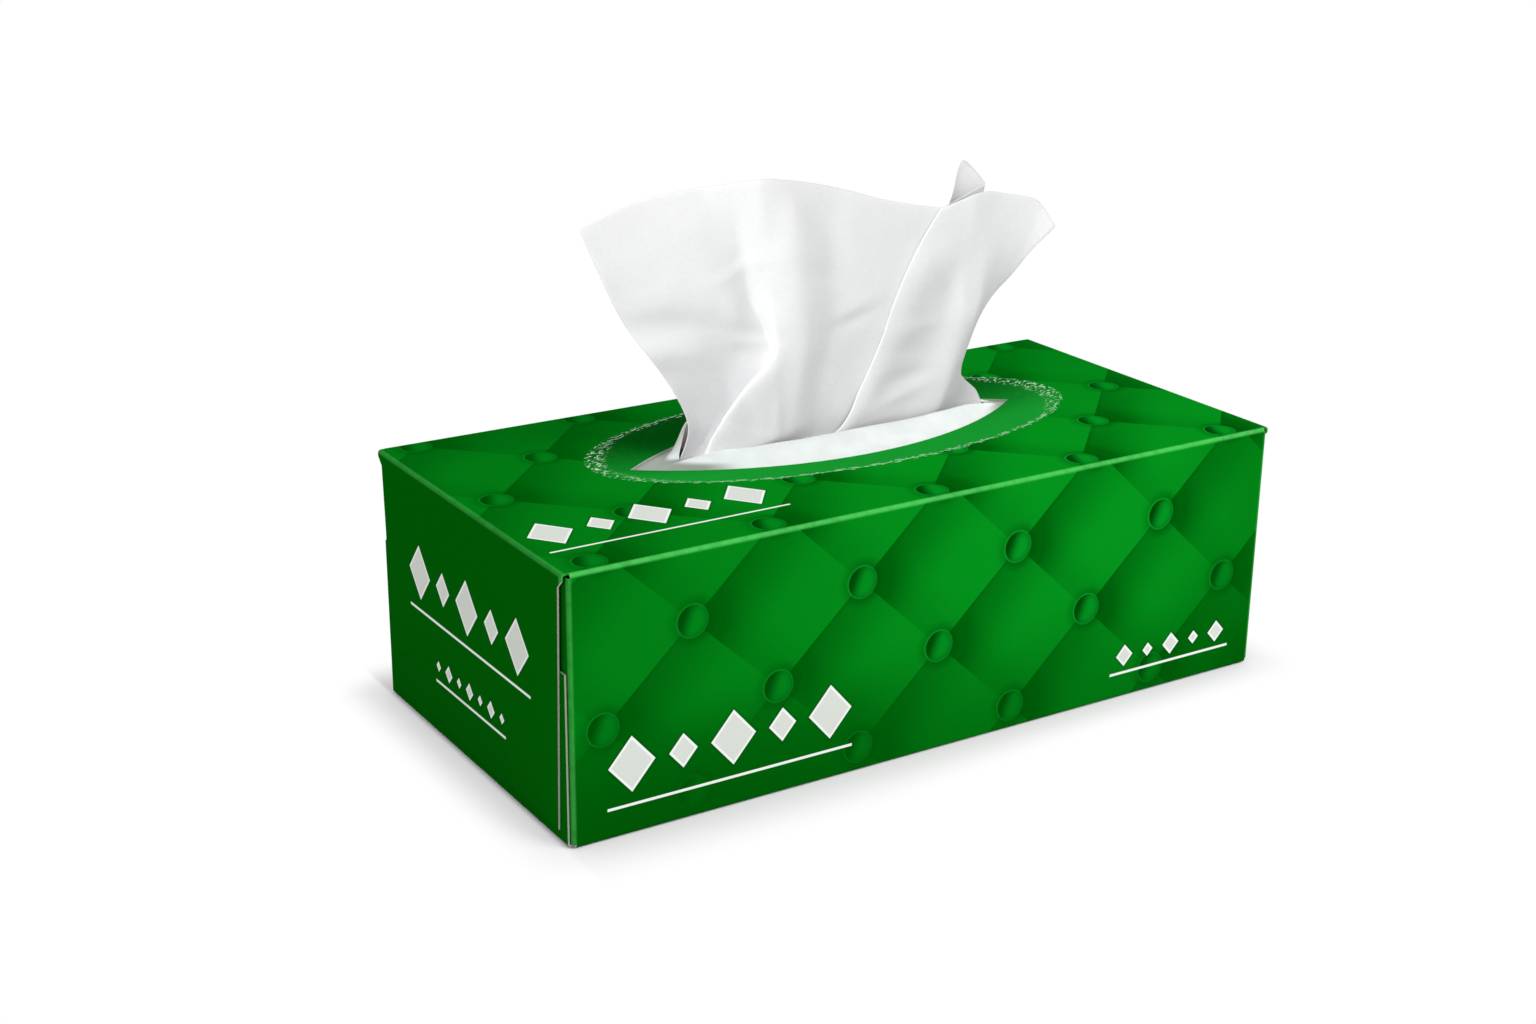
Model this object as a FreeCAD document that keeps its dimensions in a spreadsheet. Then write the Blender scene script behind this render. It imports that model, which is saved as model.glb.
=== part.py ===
"""Tissue box: a folded board carton with an oval opening, the film under it,
the tissue that stands in the slit and the stack of tissues inside.

Millimetres. The origin is the centre of the base, +Z up, +X along the box.
The near long side is at -Y. The left end is at -X.
"""
import FreeCAD, Part
import os
import Sketcher
from FreeCAD import Vector

os.makedirs("parts", exist_ok=True)
doc = FreeCAD.newDocument("TissueBox")

# Sizes

SIZES = [
    ("carton_length", 225.0, "outside length"),
    ("carton_width", 110.0, "outside width"),
    ("carton_height", 72.0, "outside height"),
    ("board", 0.5, "thickness of the board"),
    ("fold_radius", 0.9, "outside radius of every fold"),
    ("layer_gap", 0.1, "glue line between two flaps"),
    ("outer_flap_inset", 3.0, "side of the outer flap in from the long side, below the fold"),
    ("outer_flap_taper", 2.5, "what that side runs in by at the base"),
    ("outer_flap_lift", 3.3, "free edge of the outer flap above the base"),
    ("inner_flap_inset", 1.5, "side of the inner flap in from the long side"),
    ("inner_flap_depth", 46.0, "height of the inner flap"),
    ("dust_flap_depth", 42.0, "width of a dust flap"),
    ("dust_flap_inset", 1.2, "dust flap clear of the top and of the base"),
    ("fold_run", 6.0, "panel that each fold strip takes in"),
    ("glue_lap", 14.0, "height of the lap inside the back panel"),
    ("rim_length", 153.0, "oval crease round the opening, along X"),
    ("rim_width", 70.0, "the same along Y"),
    ("rim_shift", 6.5, "centre of the oval crease, along X"),
    ("rim_back", 9.0, "centre of the oval crease, along Y"),
    ("mouth_length", 128.0, "cut edge of the opening, along X"),
    ("mouth_width", 42.0, "the same along Y"),
    ("mouth_shift", 5.0, "centre of the opening, along X"),
    ("mouth_back", 9.5, "centre of the opening, along Y"),
    ("dish_depth", 2.0, "cut edge below the top"),
    ("film_thickness", 0.2, "thickness of the film"),
    ("film_gap", 0.1, "glue line between film and board"),
    ("film_border_ends", 11.5, "film glued outside the oval crease, at its ends"),
    ("film_border_sides", 7.0, "the same at its long sides"),
    ("lip_length", 125.0, "middle of the lip, along X"),
    ("lip_width", 25.0, "the same along Y"),
    ("lip_rise", 1.3, "middle of the lip above the cut edge of the film"),
    ("slit_length", 122.0, "slit along X"),
    ("slit_width", 14.0, "slit along Y"),
    ("slit_rise", 2.9, "edge of the slit above the cut edge of the film"),
    ("tissue_thickness", 0.4, "thickness of the raised tissue"),
    ("tissue_rise", 76.0, "hem of the raised tissue above the slit"),
    ("tissue_spread", 82.0, "half of the raised tissue's width at its hem"),
    ("tissue_depth", 8.0, "depth of its folds"),
    ("tail_gap", 0.3, "lower half of the tissue clear of stack and film"),
    ("tail_turn", 1.2, "its hairpin, centre to centre"),
    ("tail_front_gap", 5.7, "its hairpin clear of the front panel"),
    ("tail_inset", 6.0, "its sides in from the ends of the stack"),
    ("stack_end_gap", 10.8, "stack clear of the dust flaps"),
    ("stack_side_gap", 2.5, "stack clear of the front and back panels"),
]

sheet = doc.addObject("Spreadsheet::Sheet", "Sizes")
for row, (alias, value, note) in enumerate(SIZES, 1):
    sheet.set("A%d" % row, alias)
    sheet.set("B%d" % row, str(value))
    sheet.set("C%d" % row, note)
    sheet.setAlias("B%d" % row, alias)
doc.recompute()


def size(alias):
    """A size read back from the sheet."""
    return float(sheet.get(alias))


def bind(thing, prop, formula):
    """Ties a property to the sheet. Sizes are written in the formula as $name."""
    thing.setExpression(prop, formula.replace("$", "Sizes."))


def plane(body, role):
    """The body's own origin plane."""
    return [f for f in body.Origin.OriginFeatures if f.Role == role][0]


def new_sketch(body, name, role):
    sketch = body.newObject("Sketcher::SketchObject", name)
    sketch.AttachmentSupport = [(plane(body, role), "")]
    sketch.MapMode = "FlatFace"
    return sketch


def fix(sketch, kind, where, value, formula):
    """A dimension from the sketch's origin, or onto its axis where it is nothing."""
    geo, pos = where
    if abs(value) < 1e-9:
        axis = -2 if kind == "DistanceX" else -1
        sketch.addConstraint(Sketcher.Constraint("PointOnObject", geo, pos, axis))
        return
    index = sketch.addConstraint(Sketcher.Constraint(kind, -1, 1, geo, pos, value))
    bind(sketch, "Constraints[%d]" % index, formula)


def draw_polygon(sketch, corners):
    """A closed outline. Each corner is (x, formula of x, y, formula of y)."""
    count = len(corners)
    first = sketch.GeometryCount
    for k in range(count):
        a = corners[k]
        b = corners[(k + 1) % count]
        sketch.addGeometry(Part.LineSegment(Vector(a[0], a[2], 0), Vector(b[0], b[2], 0)), False)
    for k in range(count):
        following = first + (k + 1) % count
        sketch.addConstraint(Sketcher.Constraint("Coincident", first + k, 2, following, 1))
    for k, (x, formula_x, y, formula_y) in enumerate(corners):
        fix(sketch, "DistanceX", (first + k, 1), x, formula_x)
        fix(sketch, "DistanceY", (first + k, 1), y, formula_y)


def draw_fold(sketch, corner, ends, formulas):
    """The section of a board folded once by a right angle.

    corner is the outside corner, ends are the far ends of its two legs. The first leg
    runs along the sketch's x, the second along its y.
    """
    thick = size("board")
    radius = size("fold_radius")
    cx, cy = corner
    ex, ey = ends
    sx = 1 if ex > cx else -1
    sy = 1 if ey > cy else -1
    outer_x = Vector(cx + sx * radius, cy, 0)
    outer_y = Vector(cx, cy + sy * radius, 0)
    inner_y = Vector(cx + sx * thick, cy + sy * radius, 0)
    inner_x = Vector(cx + sx * radius, cy + sy * thick, 0)
    middle = Vector(cx + sx * radius, cy + sy * radius, 0)
    start = Vector(ex, cy, 0)
    stop = Vector(cx, ey, 0)
    stop_in = Vector(cx + sx * thick, ey, 0)
    start_in = Vector(ex, cy + sy * thick, 0)
    diagonal = Vector(-sx, -sy, 0).normalize()
    lines = [(start, outer_x), (outer_y, stop), (stop, stop_in),
             (stop_in, inner_y), (inner_x, start_in), (start_in, start)]
    for a, b in lines:
        sketch.addGeometry(Part.LineSegment(a, b), False)
    outer_mid = middle + diagonal * radius
    inner_mid = middle + diagonal * (radius - thick)
    sketch.addGeometry(Part.Arc(outer_x, outer_mid, outer_y), False)
    sketch.addGeometry(Part.Arc(inner_x, inner_mid, inner_y), False)
    for geo in range(len(lines)):
        kind = "Horizontal" if geo % 2 == 0 else "Vertical"
        sketch.addConstraint(Sketcher.Constraint(kind, geo))
    for a, b in ((1, 2), (2, 3), (4, 5), (5, 0)):
        sketch.addConstraint(Sketcher.Constraint("Coincident", a, 2, b, 1))
    for line, end, arc in ((0, 2, 6), (1, 1, 6), (3, 2, 7), (4, 1, 7)):
        point = sketch.getPoint(line, end)
        near = 1 if point.distanceToPoint(sketch.getPoint(arc, 1)) < thick / 10 else 2
        sketch.addConstraint(Sketcher.Constraint("Tangent", line, end, arc, near))
    fix(sketch, "DistanceX", (1, 2), cx, formulas[0])
    fix(sketch, "DistanceY", (0, 1), cy, formulas[1])
    fix(sketch, "DistanceX", (0, 1), ex, formulas[2])
    fix(sketch, "DistanceY", (1, 2), ey, formulas[3])
    for line in (2, 5):
        index = sketch.addConstraint(Sketcher.Constraint("Distance", line, thick))
        bind(sketch, "Constraints[%d]" % index, "$board")
    index = sketch.addConstraint(Sketcher.Constraint("Radius", 6, radius))
    bind(sketch, "Constraints[%d]" % index, "$fold_radius")
    index = sketch.addConstraint(Sketcher.Constraint("Radius", 7, radius - thick))
    bind(sketch, "Constraints[%d]" % index, "$fold_radius - $board")


def draw_round(sketch, half, low, high, radius, formulas):
    """A rectangle with round corners, even about the sketch's y axis."""
    x0, x1 = -half, half
    straight = [(Vector(x0 + radius, low, 0), Vector(x1 - radius, low, 0)),
                (Vector(x1, low + radius, 0), Vector(x1, high - radius, 0)),
                (Vector(x1 - radius, high, 0), Vector(x0 + radius, high, 0)),
                (Vector(x0, high - radius, 0), Vector(x0, low + radius, 0))]
    centres = [Vector(x1 - radius, low + radius, 0), Vector(x1 - radius, high - radius, 0),
               Vector(x0 + radius, high - radius, 0), Vector(x0 + radius, low + radius, 0)]
    first = sketch.GeometryCount
    for a, b in straight:
        sketch.addGeometry(Part.LineSegment(a, b), False)
    for k in range(4):
        a = straight[k][1]
        b = straight[(k + 1) % 4][0]
        out = (a + b) * 0.5 - centres[k]
        mid = centres[k] + out.normalize() * radius
        sketch.addGeometry(Part.Arc(a, mid, b), False)
    for k in range(4):
        sketch.addConstraint(Sketcher.Constraint("Horizontal" if k % 2 == 0 else "Vertical", first + k))
        arc = first + 4 + k
        sketch.addConstraint(Sketcher.Constraint("Tangent", first + k, 2, arc, 1))
        sketch.addConstraint(Sketcher.Constraint("Tangent", arc, 2, first + (k + 1) % 4, 1))
    for k in range(3):
        sketch.addConstraint(Sketcher.Constraint("Equal", first + 4 + k, first + 5 + k))
    fix(sketch, "DistanceX", (first + 1, 1), x1, formulas[0])
    fix(sketch, "DistanceX", (first + 3, 1), x0, "-(" + formulas[0] + ")")
    fix(sketch, "DistanceY", (first, 1), low, formulas[1])
    fix(sketch, "DistanceY", (first + 2, 1), high, formulas[2])
    index = sketch.addConstraint(Sketcher.Constraint("Radius", first + 4, radius))
    bind(sketch, "Constraints[%d]" % index, formulas[3])


def pad(body, sketch, name, formula, symmetric=True, reverse=False):
    feature = body.newObject("PartDesign::Pad", name)
    feature.Profile = sketch
    feature.SideType = "Symmetric" if symmetric else "One side"
    feature.Reversed = reverse
    bind(feature, "Length", formula)
    return feature


L = size("carton_length")
W = size("carton_width")
H = size("carton_height")
T = size("board")
G = size("layer_gap")
R = size("fold_radius")

# Sleeve

# The four panels round the box. The ends of the sleeve meet the dust flaps' folds.
sleeve = doc.addObject("PartDesign::Body", "Sleeve")
section = new_sketch(sleeve, "SleeveSection", "YZ_Plane")
draw_round(section, W / 2, 0, H, R, ("$carton_width / 2", "0", "$carton_height", "$fold_radius"))
draw_round(section, W / 2 - T, T, H - T, R - T,
           ("$carton_width / 2 - $board", "$board", "$carton_height - $board", "$fold_radius - $board"))
END_STEP = "(2 * $board + 2 * $layer_gap + $fold_radius)"
pad(sleeve, section, "SleevePad", "$carton_length - 2 * " + END_STEP)

# The lap is folded up from the bottom panel and glued inside the back panel.
lap = doc.addObject("Part::Box", "GlueLap")
bind(lap, "Length", "$carton_length - 2 * " + END_STEP + " - 2 * $fold_run")
bind(lap, "Width", "$board")
bind(lap, "Height", "$glue_lap")
bind(lap, "Placement.Base.x", "-($carton_length / 2 - " + END_STEP + " - $fold_run)")
bind(lap, "Placement.Base.y", "$carton_width / 2 - 2 * $board - $layer_gap")
bind(lap, "Placement.Base.z", "$board")

# Ends

# From the outside in: the outer flap, the inner flap and the two dust flaps.
outer = doc.addObject("PartDesign::Body", "OuterFlap")
section = new_sketch(outer, "OuterFlapSection", "XZ_Plane")
draw_fold(section, (-L / 2, H), (-L / 2 + size("fold_run"), size("outer_flap_lift")),
          ("-$carton_length / 2", "$carton_height",
           "-$carton_length / 2 + $fold_run", "$outer_flap_lift"))
pad(outer, section, "OuterFlapPad", "$carton_width - 2 * $fold_radius")
sides = new_sketch(outer, "OuterFlapSides", "YZ_Plane")
top_half = W / 2 - size("outer_flap_inset")
base_half = top_half - size("outer_flap_taper")
for sign, mark in ((1, ""), (-1, "-")):
    draw_polygon(sides, [
        (sign * top_half, mark + "($carton_width / 2 - $outer_flap_inset)",
         H - R - size("outer_flap_inset"), "$carton_height - $fold_radius - $outer_flap_inset"),
        (sign * W / 2, mark + "($carton_width / 2)", H - R, "$carton_height - $fold_radius"),
        (sign * W / 2, mark + "($carton_width / 2)", 0, "0"),
        (sign * base_half, mark + "($carton_width / 2 - $outer_flap_inset - $outer_flap_taper)",
         0, "0"),
    ])
trim = outer.newObject("PartDesign::Pocket", "OuterFlapTrim")
trim.Profile = sides
trim.SideType = "Symmetric"
bind(trim, "Length", "2 * $carton_length")

inner = doc.addObject("PartDesign::Body", "InnerFlap")
section = new_sketch(inner, "InnerFlapSection", "XZ_Plane")
STEP_1 = T + G
draw_fold(section, (-L / 2 + STEP_1, 0), (-L / 2 + size("fold_run"), size("inner_flap_depth")),
          ("-$carton_length / 2 + $board + $layer_gap", "0",
           "-$carton_length / 2 + $fold_run", "$inner_flap_depth"))
pad(inner, section, "InnerFlapPad", "$carton_width - 2 * $inner_flap_inset")

# One dust flap is folded in from the near side and one from the far side.
STEP_2 = 2 * (T + G)
dust = []
for name, sign, mark in (("NearDustFlap", -1, "-"), ("FarDustFlap", 1, "")):
    body = doc.addObject("PartDesign::Body", name)
    section = new_sketch(body, name + "Section", "XY_Plane")
    bind(section, "AttachmentOffset.Base.z", "$carton_height / 2")
    draw_fold(section, (-L / 2 + STEP_2, sign * W / 2),
              (-L / 2 + size("fold_run"), sign * (W / 2 - size("dust_flap_depth"))),
              ("-$carton_length / 2 + 2 * ($board + $layer_gap)", mark + "$carton_width / 2",
               "-$carton_length / 2 + $fold_run", mark + "($carton_width / 2 - $dust_flap_depth)"))
    pad(body, section, name + "Pad", "$carton_height - 2 * $dust_flap_inset")
    dust.append(body)

left_end = doc.addObject("Part::MultiFuse", "LeftEnd")
left_end.Shapes = [outer, inner] + dust
right_end = doc.addObject("Part::Mirroring", "RightEnd")
right_end.Source = left_end
right_end.Normal = Vector(1, 0, 0)

# Opening


def rim(name, level):
    """The oval crease round the opening at a level above the base."""
    curve = doc.addObject("Part::Ellipse", name)
    bind(curve, "MajorRadius", "$rim_length / 2")
    bind(curve, "MinorRadius", "$rim_width / 2")
    bind(curve, "Placement.Base.x", "$rim_shift")
    bind(curve, "Placement.Base.y", "$rim_back")
    bind(curve, "Placement.Base.z", level)
    return curve


def lens(name, part, level):
    """A pointed oval of two arcs, for the mouth, the lip or the slit, at its level."""
    length = "$%s_length" % part
    width = "$%s_width" % part
    half_long = size(part + "_length") / 2
    half_wide = size(part + "_width") / 2
    centre = Vector(size("mouth_shift"), size("mouth_back"), 0)
    left = centre - Vector(half_long, 0, 0)
    right = centre + Vector(half_long, 0, 0)
    side = Vector(0, half_wide, 0)
    sketch = doc.addObject("Sketcher::SketchObject", name)
    sketch.addGeometry(Part.Arc(left, centre - side, right), False)
    sketch.addGeometry(Part.Arc(right, centre + side, left), False)
    sketch.addConstraint(Sketcher.Constraint("Coincident", 0, 2, 1, 1))
    sketch.addConstraint(Sketcher.Constraint("Coincident", 1, 2, 0, 1))
    fix(sketch, "DistanceX", (0, 1), left.x, "$mouth_shift - %s / 2" % length)
    fix(sketch, "DistanceY", (0, 1), left.y, "$mouth_back")
    fix(sketch, "DistanceX", (0, 2), right.x, "$mouth_shift + %s / 2" % length)
    fix(sketch, "DistanceY", (0, 2), right.y, "$mouth_back")
    radius = (half_long ** 2 + half_wide ** 2) / (2 * half_wide)
    for arc in (0, 1):
        index = sketch.addConstraint(Sketcher.Constraint("Radius", arc, radius))
        bind(sketch, "Constraints[%d]" % index,
             "(%s ^ 2 + %s ^ 2) / (4 * %s)" % (length, width, width))
    bind(sketch, "Placement.Base.z", level)
    return sketch


def loft(name, curves, closed=False):
    body = doc.addObject("Part::Loft", name)
    body.Sections = curves
    body.Solid = True
    body.Ruled = True
    body.Closed = closed
    return body


# The band between the oval crease and the pointed cut edge is dished, one board thick.
hollow = loft("DishHollow", [
    rim("RimTop", "$carton_height"),
    lens("MouthTop", "mouth", "$carton_height - $dish_depth"),
])
underside = loft("DishUnderside", [
    rim("RimUnder", "$carton_height - $board"),
    lens("MouthUnder", "mouth", "$carton_height - $board - $dish_depth"),
])
mouth = doc.addObject("Part::Extrusion", "MouthCut")
mouth.Base = lens("MouthFloor", "mouth", "$carton_height - 2 * $board - $dish_depth")
mouth.Dir = Vector(0, 0, 1)
mouth.DirMode = "Custom"
mouth.Solid = True
bind(mouth, "LengthFwd", "$dish_depth + 3 * $board")

folded = doc.addObject("Part::MultiFuse", "FoldedBoard")
folded.Shapes = [sleeve, lap, left_end, right_end, underside]
dished = doc.addObject("Part::Cut", "DishedBoard")
dished.Base = folded
dished.Tool = hollow
carton = doc.addObject("Part::Cut", "Carton")
carton.Base = dished
carton.Tool = mouth
carton.Label = "carton"

# Film

# A flat patch under the top panel with an oval hole, and from there one closed section:
# down under the dished band, then up again over the lip to the slit.
FILM_TOP = "$carton_height - $board - $film_gap"
patch = doc.addObject("Part::Box", "FilmPatch")
bind(patch, "Length", "$rim_length + 2 * $film_border_ends")
bind(patch, "Width", "$rim_width + 2 * $film_border_sides")
bind(patch, "Height", "$film_thickness")
bind(patch, "Placement.Base.x", "$rim_shift - $rim_length / 2 - $film_border_ends")
bind(patch, "Placement.Base.y", "$rim_back - $rim_width / 2 - $film_border_sides")
bind(patch, "Placement.Base.z", FILM_TOP + " - $film_thickness")
patch_hole = doc.addObject("Part::Extrusion", "FilmPatchHole")
patch_hole.Base = rim("FilmPatchRim", FILM_TOP + " - 2 * $film_thickness")
patch_hole.Dir = Vector(0, 0, 1)
patch_hole.DirMode = "Custom"
patch_hole.Solid = True
bind(patch_hole, "LengthFwd", "3 * $film_thickness")
patch_ring = doc.addObject("Part::Cut", "FilmPatchRing")
patch_ring.Base = patch
patch_ring.Tool = patch_hole

below_rim = FILM_TOP + " - $dish_depth"
steps = [("mouth", below_rim), ("lip", below_rim + " + $lip_rise"), ("slit", below_rim + " + $slit_rise")]
upper = [rim("FilmUpperRim", FILM_TOP)]
lower = [rim("FilmLowerRim", FILM_TOP + " - $film_thickness")]
for part, level in steps:
    upper.append(lens("FilmUpper" + part.title(), part, level))
    lower.append(lens("FilmLower" + part.title(), part, level + " - $film_thickness"))
film_lip = loft("FilmLip", upper + lower[::-1], closed=True)
film = doc.addObject("Part::MultiFuse", "WindowFilm")
film.Shapes = [patch_ring, film_lip]
film.Label = "window_film"

# Stack

# The tail is the tissue's lower half. It lies in two layers between film and stack.
MOUTH_LEVEL = "$carton_height - $board - $film_gap - $dish_depth - $film_thickness"
STACK_TOP = MOUTH_LEVEL + " - 2 * $tail_gap - $tail_turn - $tissue_thickness"
stack = doc.addObject("Part::Box", "TissueStack")
HALF_LONG = "($carton_length / 2 - 3 * $board - 2 * $layer_gap - $stack_end_gap)"
HALF_WIDE = "($carton_width / 2 - $board - $stack_side_gap)"
bind(stack, "Length", "2 * " + HALF_LONG)
bind(stack, "Width", "2 * " + HALF_WIDE)
bind(stack, "Height", STACK_TOP + " - $board")
bind(stack, "Placement.Base.x", "-" + HALF_LONG)
bind(stack, "Placement.Base.y", "-" + HALF_WIDE)
bind(stack, "Placement.Base.z", "$board")
stack.Label = "tissue_stack"

# Tissue

# Ribs of the standing half, left hem first, as shares of its spread, depth and rise.
# Each rib is (x, depth, height) from the slit up to the hem.
RIBS = [
    [(-0.60, 0.8, 0), (-0.56, 0.8, 0.13), (-0.65, 0.7, 0.28),
     (-0.78, 0.5, 0.46), (-0.90, 0.3, 0.67), (-1.00, -0.1, 0.89)],
    [(-0.57, 0.9, 0), (-0.47, 0.9, 0.10), (-0.46, 1.2, 0.25),
     (-0.53, 1.2, 0.45), (-0.69, 0.9, 0.68), (-0.87, 0.3, 0.92)],
    [(-0.50, 0.5, 0), (-0.46, 0.2, 0.16), (-0.33, 0.2, 0.28),
     (-0.25, 0.0, 0.40), (-0.38, 0.2, 0.67), (-0.60, -0.2, 0.98)],
    [(-0.37, 0.7, 0), (-0.33, 0.7, 0.11), (-0.26, 0.5, 0.23),
     (-0.20, 0.5, 0.37), (-0.30, 0.7, 0.65), (-0.46, 0.3, 0.97)],
    [(-0.19, 0.2, 0), (-0.20, 0.0, 0.09), (-0.22, -0.1, 0.24),
     (-0.23, -0.2, 0.40), (-0.31, -0.1, 0.67), (-0.38, -0.1, 0.98)],
    [(-0.10, 0.7, 0), (-0.06, 0.7, 0.06), (-0.03, 0.7, 0.21),
     (0.01, 0.8, 0.37), (0.06, 0.8, 0.61), (0.09, 0.5, 0.87)],
    [(-0.02, 0.3, 0), (0.02, 0.2, 0.10), (0.09, 0.2, 0.23),
     (0.18, 0.2, 0.39), (0.29, 0.2, 0.61), (0.37, 0.0, 0.79)],
    [(0.21, 0.7, 0), (0.29, 0.7, 0.09), (0.34, 0.7, 0.24),
     (0.41, 0.7, 0.42), (0.47, 0.5, 0.61), (0.50, 0.4, 0.82)],
    [(0.40, 0.5, 0), (0.46, 0.2, 0.09), (0.50, 0.0, 0.22),
     (0.56, 0.0, 0.41), (0.58, 0.0, 0.63), (0.58, 0.0, 0.87)],
    [(0.46, 1.0, 0), (0.44, 1.0, 0.07), (0.47, 1.0, 0.21),
     (0.50, 1.0, 0.42), (0.50, 1.0, 0.67), (0.53, 0.8, 0.95)],
    [(0.57, 1.0, 0), (0.60, 1.0, 0.06), (0.62, 1.4, 0.18),
     (0.70, 1.5, 0.38), (0.78, 1.5, 0.56), (0.80, 1.3, 0.79)],
    [(0.66, 0.7, 0), (0.67, 0.9, 0.07), (0.61, 1.5, 0.17),
     (0.71, 1.8, 0.36), (0.88, 1.8, 0.50), (1.05, 1.8, 0.63)],
]
FINER = 2
half = size("tissue_thickness") / 2
slit_level = (H - T - size("film_gap") - size("film_thickness") - size("dish_depth")
              - size("tail_gap") - half)
slit_front = size("mouth_back") - size("slit_width") / 2 + size("tissue_thickness") + size("tail_gap")


def place(share):
    """A share of spread, depth and rise as a point of the box."""
    return Vector(size("mouth_shift") + share[0] * size("tissue_spread"),
                  slit_front + share[1] * size("tissue_depth"),
                  slit_level + share[2] * (size("tissue_rise") + H - slit_level))


def smooth(points):
    """The points of a curve through these, with more of them between each pair."""
    curve = Part.BSplineCurve()
    curve.interpolate(Points=points, Parameters=[float(k) for k in range(len(points))])
    return [curve.value(k / FINER) for k in range((len(points) - 1) * FINER + 1)]


ribs = [smooth([place(share) for share in rib]) for rib in RIBS]
standing = [smooth([rib[k] for rib in ribs]) for k in range(len(ribs[0]))]
LAST = len(standing[0]) - 1

# Below the slit the sheet spreads out forwards, turns and comes back under itself.
# Each row of the tail is (share of the spread, y, drop).
turn = size("tail_turn")
tail_half = L / 2 - 3 * T - 2 * G - size("stack_end_gap") - size("tail_inset")
tail_front = size("tail_front_gap") + T - W / 2
TAIL = [
    (1.00, slit_front + size("slit_width"), turn),
    (1.00, slit_front, turn),
    (1.00, tail_front, turn),
    (1.00, tail_front - turn / 2, turn / 2),
    (1.00, tail_front, 0),
    (0.80, (tail_front + slit_front) / 2, 0),
    (0.35, slit_front - 2 * turn, 0),
]
tail = []
for spread, y, drop in TAIL:
    line = []
    for j in range(LAST + 1):
        wide = tail_half * (2 * j / LAST - 1)
        x = standing[0][j].x + spread * (wide - standing[0][j].x)
        line.append(Vector(x, y, slit_level - drop))
    tail.append(line)
levels = tail + standing
TOP = len(levels) - 1


def square_to(k, j):
    """The direction square to the sheet at one point."""
    before = levels[k][max(j - 1, 0)]
    after = levels[k][min(j + 1, LAST)]
    under = levels[max(k - 1, 0)][j]
    above = levels[min(k + 1, TOP)][j]
    return (after - before).cross(above - under).normalize()


def side(reach):
    """The points of one face of the sheet."""
    return [[point + square_to(k, j) * reach for j, point in enumerate(level)]
            for k, level in enumerate(levels)]


front = side(half)
back = side(-half)
quads = []
for k in range(TOP):
    for j in range(LAST):
        for one in (front, back):
            quads.append((one[k][j], one[k][j + 1], one[k + 1][j + 1], one[k + 1][j]))
    for j in (0, LAST):
        quads.append((front[k][j], front[k + 1][j], back[k + 1][j], back[k][j]))
for j in range(LAST):
    for k in (0, TOP):
        quads.append((front[k][j], front[k][j + 1], back[k][j + 1], back[k][j]))
faces = []
for a, b, c, d in quads:
    for three in ((a, b, c), (a, c, d)):
        faces.append(Part.Face(Part.makePolygon(three + three[:1])))
shell = Part.makeShell(faces)
shell.sewShape()
solid = Part.makeSolid(shell)
if solid.Volume < 0:
    solid.reverse()
tissue = doc.addObject("Part::Feature", "RaisedTissue")
tissue.Shape = solid
tissue.Label = "raised_tissue"

# Output

doc.recompute()
NODES = [carton, film, tissue, stack]
for thing in doc.Objects:
    if "Invalid" in thing.State or "Error" in thing.State:
        raise RuntimeError("failed: %s" % thing.Name)
for node in NODES:
    shape = node.Shape
    if shape.isNull() or not shape.isValid():
        raise RuntimeError("not a valid solid: %s" % node.Label)
    box = shape.BoundBox
    print("%-14s solids %d faces %d volume %.0f x %.1f %.1f y %.1f %.1f z %.1f %.1f" % (
        node.Label, len(shape.Solids), len(shape.Faces), shape.Volume,
        box.XMin, box.XMax, box.YMin, box.YMax, box.ZMin, box.ZMax))
for node in NODES:
    node.Shape.exportStep("parts/%s.step" % node.Label)
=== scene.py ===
"""Looks of the tissue box: printed carton, film, raised tissue, stack and stage."""
import math
from collections import namedtuple

import bmesh
import bpy
import numpy as np
from bpy.props import FloatProperty, FloatVectorProperty, IntProperty, PointerProperty
from mathutils import Matrix, Vector, noise


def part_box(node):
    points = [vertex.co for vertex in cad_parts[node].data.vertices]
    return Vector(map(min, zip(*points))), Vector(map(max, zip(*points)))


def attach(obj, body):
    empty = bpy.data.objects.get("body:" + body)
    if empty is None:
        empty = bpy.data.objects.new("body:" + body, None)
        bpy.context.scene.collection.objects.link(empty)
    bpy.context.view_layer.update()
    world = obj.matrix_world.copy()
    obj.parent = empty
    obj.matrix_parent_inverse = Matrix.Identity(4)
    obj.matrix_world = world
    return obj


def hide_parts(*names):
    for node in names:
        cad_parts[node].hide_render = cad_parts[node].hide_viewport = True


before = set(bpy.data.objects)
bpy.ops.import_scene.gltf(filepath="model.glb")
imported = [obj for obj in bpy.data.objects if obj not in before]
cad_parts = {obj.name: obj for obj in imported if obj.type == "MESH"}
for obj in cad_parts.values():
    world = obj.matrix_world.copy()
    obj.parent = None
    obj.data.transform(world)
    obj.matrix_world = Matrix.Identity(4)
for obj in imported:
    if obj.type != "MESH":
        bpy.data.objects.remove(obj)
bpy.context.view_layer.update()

bl_info = {
    "name": "Tissue Box",
    "version": (1, 0, 0),
    "blender": (4, 5, 0),
    "location": "View3D > Sidebar > Tissue Box",
    "description": "Builds the finishes and soft pieces of a carton of facial tissues",
    "category": "Object",
}

MM = 0.001
# Named places of the model, in millimetres, within 0.1 mm of where the solids have them.
CARTON_TOP = 72.0
CARTON_HALF = (112.5, 55.0)
# Outlines round the opening: centre and half sizes. SLIT is shorter here than in the solids, and
# an oval.
BORDER = (6.5, 9.0, 88.0, 42.0)
RIM = (6.5, 9.0, 76.5, 35.0)
MOUTH = (5.0, 9.5, 64.0, 21.0)
SLIT = (8.9, 9.5, 52.8, 7.0)
MOUTH_LEVEL = 69.25
SLIT_FRONT = 3.2
SLIT_WIDTH = 14.0
SLIT_LEVEL = 68.7
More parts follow.
